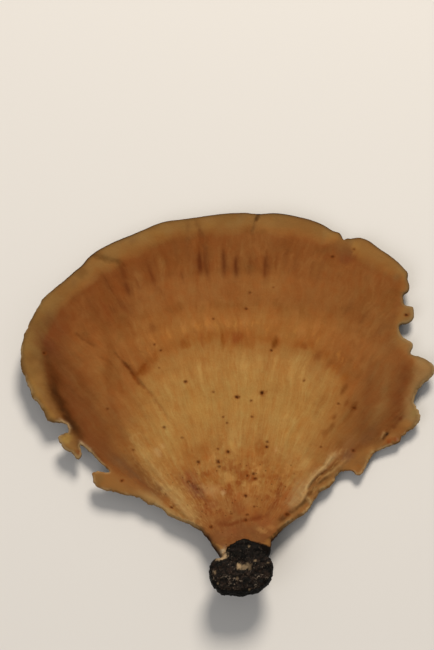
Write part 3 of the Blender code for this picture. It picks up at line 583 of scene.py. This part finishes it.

# Fine dark fibres behind the growing edge, and painted shade in red-brown along the inside of the left
# margin, darkest in its trench.
outer_pores = step(inside, 0.0, 3.0) * (1.0 - step(inside, 3.0, 24.0))
outer_pores *= 1.0 - step(np.abs(degrees), 28.0, 36.0)
tint(0.35 * outer_pores * step(fibre + 0.8 * smear, 0.5, 1.3), "#643617")
tint(0.3 * outer_pores * step(-fibre - 0.8 * smear, 0.4, 1.2), "#8b5f32")
tint(0.4 * (1.0 - step(inside, 1.0, 8.0)), "#6f3e1a")
# Painted shade inside the left margin, and darker still in its trench.
tint(0.65 * left_side * (1.0 - step(inside, 1.0, 12.0)), "#63361a")
tint(0.6 * left_side * hump(inside - 0.8, 1.8) * step(-y, -18.0, 2.0), "#47270a")

# The margin bears no pores: smooth, ochre to cream, and browner where it dips to the pores, which on the
# left is painted shade. There its rolled band also has a painted highlight.
tint(0.94 * margin, "#7f592d")
tint(0.6 * margin * step(ripple(angle * 10.0, inside * 0.15, 12.0, 2), 0.0, 0.8), "#89622f")
tint(0.45 * margin * step(ripple(angle * 16.0, inside * 0.2, 13.0, 2), 0.2, 0.9), "#6e5030")
tint(0.35 * margin * step(ripple(x * 0.16, y * 0.16, 19.0, 2), -0.2, 0.9), "#8c6a3c")
tint(0.6 * margin * step(inside, -2.6, 0.6) * (1.0 - left_side), "#824f22")
# Painted shade where the left band dips to the pores.
tint(0.55 * margin * step(inside, -2.4, 0.8) * left_side, "#6a4620")
# A painted highlight along the crown of the left band.
tint(0.5 * margin * left_side * hump(inside + 4.4, 2.2), "#886733")
tint(0.45 * margin * left_side * step(y, 6.0, 11.0), "#70502a")
tint(0.75 * margin * step(degrees, 30.0, 40.0) * step(reach, 60.0, 70.0), "#876840")
tint(0.6 * margin * (1.0 - step(reach, 52.0, 62.0)), "#7a5028")
rounded = 1.0 - step(reach, 52.0, 60.0) * (1.0 - step(edge, 0.1, 1.6))
tint(0.75 * (1.0 - rounded) * step(z, 0.5, 2.0), "#503b20")

for stain_x, stain_y, half_width, half_length, strength, colour in STAINS:
    turn = math.atan2(stain_x - STEM_AT[0], stain_y - STEM_AT[1])
    sway = min(1.0, 0.4 * half_width)
    off_x, off_y = x + sway * (wander_x - x) - stain_x, y + sway * (wander_y - y) - stain_y
    across = off_x * math.cos(turn) - off_y * math.sin(turn)
    along = off_x * math.sin(turn) + off_y * math.cos(turn)
    away = np.hypot(across / half_width, along / half_length) + 0.2 * mottle + 0.3 * smear + 0.2 * fibre
    tint(strength * (1.0 - step(away, 0.3, 1.5)), colour)
for share, colour in marks:
    tint(share, colour)
tint(streak_share, "#552a0f")
# Everywhere the flesh wanders between rust and straw.
spread = step(reach, 18.0, 42.0)
warmth = 0.5 * spread * ripple(bent * 75.0, reach * 0.3, 16.0, 2)
warmth += 0.5 * spread * ripple(bent * 30.0, reach * 0.12, 17.0, 2)
warmth += 0.4 * ripple(x * 0.5, y * 0.5, 18.0, 2)
warmth *= (1.2 + 1.2 * near_stem) * (1.0 - 0.5 * margin)
paint[:, 1] *= 1.0 - 0.075 * warmth
paint[:, 2] *= 1.0 - 0.130 * warmth
tint(0.7 * pit_rim, "#69300a")
tint(pit_share, "#3a1902")

# The hidden top: a deep brown skin, zoned and finely fibrous, which just shows round the edge.
# Where the edge was torn, pale flesh shows instead.
tint(0.8 * (1.0 - torn) * (1.0 - step(edge, 0.15, 0.7)) * step(z, 1.0, 2.0), "#38210f")
torn_flesh = torn * step(reach, 14.0, 24.0)
tint(0.55 * torn_flesh * (1.0 - step(edge, 0.2, 0.9)) * step(mottle + 0.5 * speckle, -0.5, 0.5), "#a68a5f")
nibbled = hump(degrees - 37.0, 7.0) * step(reach, 86.0, 92.0) * (1.0 - step(edge, 0.3, 1.4))
tint(0.6 * nibbled * step(z, 1.0, 2.0), "#a08459")
tint(1.0 - pore_side, "#2c190c")
tint(0.35 * (1.0 - pore_side) * step(zones + 0.4 * broad, 0.2, 1.2), "#482b15")
tint(0.85 * torn_flesh * hump(normals[:, 2], 0.5) * (1.0 - step(edge, 0.3, 1.0)), "#8f7049")
# The cap's right corner beside the stem is painted near black: painted shade, which joins the stem's black
# crust.
painted_corner_shade = from_line(x, y + 0.25 * speckle, ((4.8, -45.0), (7.6, -46.0), (10.2, -47.0), (15.0, -47.7)))[0]
painted_corner_shade = step(painted_corner_shade, -0.2, 0.3) * step(x, 4.5, 5.5) * (1.0 - step(reach, 13.5, 14.5))
tint(painted_corner_shade, "#0e0a07")
store(cap.data, "paint", np.column_stack([paint, np.ones(len(x))]), "FLOAT_COLOR")
store(cap.data, "angle", bent)
store(cap.data, "reach", reach)

# Where its material shows combed fibres, specks of dirt and frayed flecks, from 0 to 1.
crests = hump(from_line(x, y, LEFT_CREST)[0], 3.4)
crests += hump(from_line(x, y, RIGHT_CREST)[0] + 1.0, 2.6) * step(y, -33.0, -28.0)
frayed_stem = near_stem * step(reach, 14.0, 26.0)
combed = (0.05 + 0.95 * step(reach, 16.0, 42.0)) * (0.8 + 0.4 * step(middle, 0.0, 6.0))
store(cap.data, "fibrous", np.clip(1.0 - 0.7 * margin, 0.0, 1.0) * combed)
store(cap.data, "specks", np.clip(near_stem * 0.9 + 0.25 * step(middle, 0.0, 6.0), 0.0, 1.0) * pore_side)
store(cap.data, "flecks", np.clip(0.75 * crests + 0.45 * frayed_stem, 0.0, 1.0) * pore_side)


def add(tree, kind, inputs=(), output=0, **settings):
    """Adds one node and gives back one of its outputs. Each input pairs a socket's name or
    number with a number, a hex colour, or the output that it is linked to."""
    made = tree.nodes.new(kind)
    for name, value in settings.items():
        setattr(made, name, value)
    for socket, value in inputs:
        if isinstance(value, bpy.types.NodeSocket):
            tree.links.new(value, made.inputs[socket])
        else:
            made.inputs[socket].default_value = linear(value) if isinstance(value, str) else value
    return made.outputs[output]


# Dried polypore: a dull corky skin of fine radial fibres, with pores too small to see one by
# one (4 or 5 a millimetre), so they are drawn at 0.6 mm as a faint grain. Its shade wanders
# from rust in the hollows to straw on the fibres.
FIBRE_WIDTHS = (2.6, 1.2, 0.55)  # millimetres, at the growing edge
FIBRE_SLIMNESS = 0.18  # a fibre's width over its length
GROWING_EDGE = 115.0  # millimetres from the stem
GRAIN = 0.6
CLOUD = 4.0
SPECK_SPACING = 1.5
FRAYED_ACROSS = 55.0  # frayed fibres in a radian: about 0.7 mm each on the crests
FRAYED_ALONG = 0.45  # and in a millimetre outwards: about 2 mm each
RUST_SHADE = (0.92, 0.84, 0.76, 1.0)  # shares of the painted colour, in red, green and blue
STRAW_SHADE = (1.08, 1.16, 1.24, 1.0)
skin = bpy.data.materials.new("Dried polypore flesh")
skin.use_nodes = True
tree = skin.node_tree
surface = tree.nodes["Principled BSDF"]
painted = add(tree, "ShaderNodeAttribute", output="Color", attribute_name="paint")
around, outward, fibrous, speckled, flecked = [
    add(tree, "ShaderNodeAttribute", output="Fac", attribute_name=name)
    for name in ("angle", "reach", "fibrous", "specks", "flecks")]
where = add(tree, "ShaderNodeTexCoord", output="Object")
fibres = 0.0
for number, width in enumerate(FIBRE_WIDTHS):
    sweep = add(tree, "ShaderNodeMath", ((0, around), (1, GROWING_EDGE / width)), operation="MULTIPLY")
    run = add(tree, "ShaderNodeMath", ((0, outward), (1, FIBRE_SLIMNESS / width)), operation="MULTIPLY")
    place = add(tree, "ShaderNodeCombineXYZ", ((0, sweep), (1, run), (2, 7.0 * number)))
    octave = add(tree, "ShaderNodeTexNoise", (("Vector", place), ("Scale", 1.0), ("Detail", 2.0)))
    fibres = add(tree, "ShaderNodeMath", ((0, octave), (1, 1.0 / len(FIBRE_WIDTHS)), (2, fibres)),
                 operation="MULTIPLY_ADD")
grain = add(tree, "ShaderNodeTexNoise", (("Vector", where), ("Scale", 1 / (GRAIN * MM)), ("Detail", 2.0)))
cloud = add(tree, "ShaderNodeTexNoise", (("Vector", where), ("Scale", 1 / (CLOUD * MM)), ("Detail", 4.0)))
shade = add(tree, "ShaderNodeMath", ((0, fibres), (1, 2.4), (2, -1.2)), operation="MULTIPLY_ADD")
shade = add(tree, "ShaderNodeMath", ((0, cloud), (1, 1.0), (2, shade)), operation="MULTIPLY_ADD")
shade = add(tree, "ShaderNodeMath", ((0, grain), (1, 0.7), (2, shade)), operation="MULTIPLY_ADD")
shade = add(tree, "ShaderNodeMath", ((0, shade), (1, -0.85)), operation="ADD")
shade = add(tree, "ShaderNodeMath", ((0, shade), (1, fibrous), (2, 0.5)), operation="MULTIPLY_ADD")
tone = add(tree, "ShaderNodeMix", ((0, shade), (6, RUST_SHADE), (7, STRAW_SHADE)), output=2,
           data_type="RGBA")
colour = add(tree, "ShaderNodeMix", ((0, 1.0), (6, painted), (7, tone)), output=2,
             data_type="RGBA", blend_type="MULTIPLY")
# Pale frayed fibres on the crests and near the stem.
sweep = add(tree, "ShaderNodeMath", ((0, around), (1, FRAYED_ACROSS)), operation="MULTIPLY")
run = add(tree, "ShaderNodeMath", ((0, outward), (1, FRAYED_ALONG)), operation="MULTIPLY")
place = add(tree, "ShaderNodeCombineXYZ", ((0, sweep), (1, run), (2, 3.0)))
frayed = add(tree, "ShaderNodeTexNoise", (("Vector", place), ("Scale", 1.0), ("Detail", 3.0)))
frayed = add(tree, "ShaderNodeMapRange", ((0, frayed), (1, 0.50), (2, 0.66)))
frayed = add(tree, "ShaderNodeMath", ((0, frayed), (1, flecked)), operation="MULTIPLY")
frayed = add(tree, "ShaderNodeMath", ((0, frayed), (1, 0.5)), operation="MULTIPLY")
colour = add(tree, "ShaderNodeMix", ((0, frayed), (6, colour), (7, "#a2804c")), output=2, data_type="RGBA")
# Specks of dirt and frass about 0.5 mm across, thickest near the stem.
cells = tree.nodes.new("ShaderNodeTexVoronoi")
cells.inputs["Scale"].default_value = 1 / (SPECK_SPACING * MM)
tree.links.new(where, cells.inputs["Vector"])
chosen = add(tree, "ShaderNodeSeparateColor", ((0, cells.outputs["Color"]),))
chosen = add(tree, "ShaderNodeMath", ((0, chosen), (1, speckled)), operation="MULTIPLY")
chosen = add(tree, "ShaderNodeMapRange", ((0, chosen), (1, 0.45), (2, 0.60)))
dot = add(tree, "ShaderNodeMapRange", ((0, cells.outputs["Distance"]), (1, 0.22), (2, 0.10)))
dot = add(tree, "ShaderNodeMath", ((0, dot), (1, chosen)), operation="MULTIPLY")
dot = add(tree, "ShaderNodeMath", ((0, dot), (1, 0.6)), operation="MULTIPLY")
colour = add(tree, "ShaderNodeMix", ((0, dot), (6, colour), (7, "#4a2a0c")), output=2, data_type="RGBA")
tree.links.new(colour, surface.inputs["Base Color"])
surface.inputs["Roughness"].default_value = 0.8
surface.inputs["Specular IOR Level"].default_value = 0.03
combing = add(tree, "ShaderNodeMath", ((0, fibres), (1, fibrous)), operation="MULTIPLY")
texture = add(tree, "ShaderNodeMath", ((0, combing), (1, 0.8), (2, grain)), operation="MULTIPLY_ADD")
bump = add(tree, "ShaderNodeBump", (("Height", texture), ("Strength", 0.4), ("Distance", 0.2 * MM)))
tree.links.new(bump, surface.inputs["Normal"])

cap.data.materials.clear()
cap.data.materials.append(skin)
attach(cap, "root")
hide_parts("cap")

# ------------------------------
# The stem: the short stub at the cap's side, in a hard black granular crust that grew as one
# with the cap. Its upper end is where it was cut from the wood, so pale flesh shows between the
# grains there.
# ------------------------------

# Where the crust broke off and the flesh shows: x, y, half width, half depth, strength.
FLESH_SPOTS = (
    (-1.5, -50.2, 1.2, 1.6, 1.0), (-2.5, -52.0, 0.9, 0.7, 0.7), (3.4, -54.5, 0.7, 1.0, 0.9),
    (4.9, -54.7, 1.1, 0.6, 0.55), (6.0, -54.4, 1.0, 0.9, 0.35), (6.2, -48.5, 0.3, 0.3, 0.45),
    (8.0, -52.8, 0.45, 0.22, 0.5), (11.8, -53.6, 0.4, 0.3, 0.4), (-3.8, -56.3, 0.25, 0.6, 0.4),
    (-3.0, -59.7, 0.3, 0.3, 0.4), (6.2, -61.6, 0.3, 0.25, 0.3), (2.7, -58.2, 0.25, 0.6, 0.25))
# The dip across its cut end, under the shelf that was left when it broke off.
SHELF_LINE = ((-1.5, -52.6), (1.5, -53.2), (4.0, -53.0))
GRID = 0.3  # fine enough for grains of 0.5 mm
stem = rounded_copy(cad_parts["stem"], "stem_stub", 2)
grid = stem.modifiers.new("Even grid", "REMESH")
grid.mode = "VOXEL"
grid.voxel_size = GRID * MM
grid.use_smooth_shade = True
bpy.ops.object.modifier_apply(modifier=grid.name)
points = numbers(stem.data.vertices, "co") / MM
normals = numbers(stem.data.vertex_normals, "vector")
x, y, z = points.T
cut_end = step(normals[:, 2], 0.3, 0.8) * step(z, 11.5, 14.0)  # its upper side, and only near the top
grains = ripple(x * 1.1, y * 1.1, z * 1.1, 3)
lumps = ripple(x * 0.3 + 9.0, y * 0.3, z * 0.3, 2)
push = 0.26 * grains + 0.25 * lumps - 0.25 * cut_end
push -= 0.3 * hump(from_line(x, y, SHELF_LINE)[0], 0.6) * cut_end
stem.data.vertices.foreach_set("co", ((points + normals * push[:, None]) * MM).ravel())
stem.data.update()
flesh = np.zeros(len(x))
for spot_x, spot_y, half_width, half_depth, strength in FLESH_SPOTS:
    away = np.hypot((x - spot_x) / half_width, (y - spot_y) / half_depth) + 0.6 * grains
    flesh = np.maximum(flesh, strength * (1.0 - step(away, 0.6, 1.3)))
store(stem.data, "flesh", flesh * step(z, 10.0, 12.5))
store(stem.data, "cut_end", cut_end * (0.4 + 0.6 * step(-y, 50.5, 53.0)))

# Fungus crust: hard and black with a faint gloss on its 0.5 mm to 1 mm grains, and brown dust
# and pale crumbs between them.
CRUST_GRAIN = 1.1
CRUMB = 0.9
CRUMB_CLUSTER = 3.0
crust = bpy.data.materials.new("Black fungus crust")
crust.use_nodes = True
tree = crust.node_tree
surface = tree.nodes["Principled BSDF"]
where = add(tree, "ShaderNodeTexCoord", output="Object")
bare, top = [add(tree, "ShaderNodeAttribute", output="Fac", attribute_name=name)
             for name in ("flesh", "cut_end")]
fine = add(tree, "ShaderNodeTexNoise", (("Vector", where), ("Scale", 1 / (CRUST_GRAIN * MM)),
                                        ("Detail", 4.0), ("Roughness", 0.7)))
dust = add(tree, "ShaderNodeMapRange", ((0, fine), (1, 0.44), (2, 0.66)))
dust = add(tree, "ShaderNodeMath", ((0, dust), (1, top)), operation="MULTIPLY")
colour = add(tree, "ShaderNodeMix", ((0, dust), (6, "#070604"), (7, "#261b14")), output=2, data_type="RGBA")
crumbs = add(tree, "ShaderNodeTexNoise", (("Vector", where), ("Scale", 1 / (CRUMB * MM)),
                                          ("Detail", 4.0), ("Distortion", 1.6)))
crumb = add(tree, "ShaderNodeMapRange", ((0, crumbs), (1, 0.58), (2, 0.72)))
crumb = add(tree, "ShaderNodeMath", ((0, crumb), (1, top)), operation="MULTIPLY")
cluster = add(tree, "ShaderNodeTexNoise", (("Vector", where), ("Scale", 1 / (CRUMB_CLUSTER * MM)),
                                           ("Detail", 1.0)))
cluster = add(tree, "ShaderNodeMapRange", ((0, cluster), (1, 0.40), (2, 0.60)))
crumb = add(tree, "ShaderNodeMath", ((0, crumb), (1, cluster)), operation="MULTIPLY")
colour = add(tree, "ShaderNodeMix", ((0, crumb), (6, colour), (7, "#6c5f50")), output=2, data_type="RGBA")
colour = add(tree, "ShaderNodeMix", ((0, bare), (6, colour), (7, "#9c8362")), output=2, data_type="RGBA")
tree.links.new(colour, surface.inputs["Base Color"])
surface.inputs["Roughness"].default_value = 0.6
surface.inputs["Specular IOR Level"].default_value = 0.06
bump = add(tree, "ShaderNodeBump", (("Height", fine), ("Strength", 0.6), ("Distance", 0.3 * MM)))
tree.links.new(bump, surface.inputs["Normal"])

stem.data.materials.clear()
stem.data.materials.append(crust)
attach(stem, "root")
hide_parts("stem")

# ------------------------------
# The stage: a pale table top, a large soft lamp above and behind it, and a camera that looks
# down steeply, with the stem nearest.
# ------------------------------

bpy.ops.object.select_all(action="DESELECT")
bpy.ops.mesh.primitive_plane_add(size=6.0, location=(0.0, 0.0, 0.0))
table = bpy.context.object
table.name = "table_top"
paper = bpy.data.materials.new("Matt pale card")
paper.use_nodes = True
surface = paper.node_tree.nodes["Principled BSDF"]
surface.inputs["Base Color"].default_value = linear("#cfccc7")
surface.inputs["Roughness"].default_value = 0.9
table.data.materials.append(paper)

# Each lamp's place and width are in metres, and its power is in watts.
for name, place, width, power, colour in (
    ("key_lamp", (0.18, 0.80, 0.95), 0.50, 16.8, "#fff6ea"),
    ("fill_lamp", (-0.60, -0.70, 0.90), 0.90, 4.0, "#fdfcff"),
):
    lamp = bpy.data.lights.new(name, "AREA")
    lamp.shape = "DISK"
    lamp.size = width
    lamp.energy = power
    lamp.color = linear(colour)[:3]
    holder = bpy.data.objects.new(name, lamp)
    holder.location = place
    holder.rotation_euler = (-Vector(place)).to_track_quat("-Z", "Y").to_euler()
    bpy.context.scene.collection.objects.link(holder)

room = bpy.data.worlds.new("Soft room light")
room.use_nodes = True
glow = room.node_tree.nodes["Background"]
glow.inputs["Color"].default_value = linear("#f0f0f0")
glow.inputs["Strength"].default_value = 0.33
bpy.context.scene.world = room

LOOK_DOWN = math.radians(70)
LENS_DISTANCE = 0.598
LOOK_AT = Vector((-0.0032, 0.0262, 0.0))
lens = bpy.data.cameras.new("camera")
lens.lens = 105.0
lens.sensor_width = 36.0
camera = bpy.data.objects.new("camera", lens)
back_off = Vector((0.0, -math.cos(LOOK_DOWN), math.sin(LOOK_DOWN)))
camera.location = LOOK_AT + LENS_DISTANCE * back_off
camera.rotation_euler = (-back_off).to_track_quat("-Z", "Y").to_euler()
bpy.context.scene.collection.objects.link(camera)
bpy.context.scene.camera = camera
bpy.context.scene.view_settings.view_transform = "Standard"
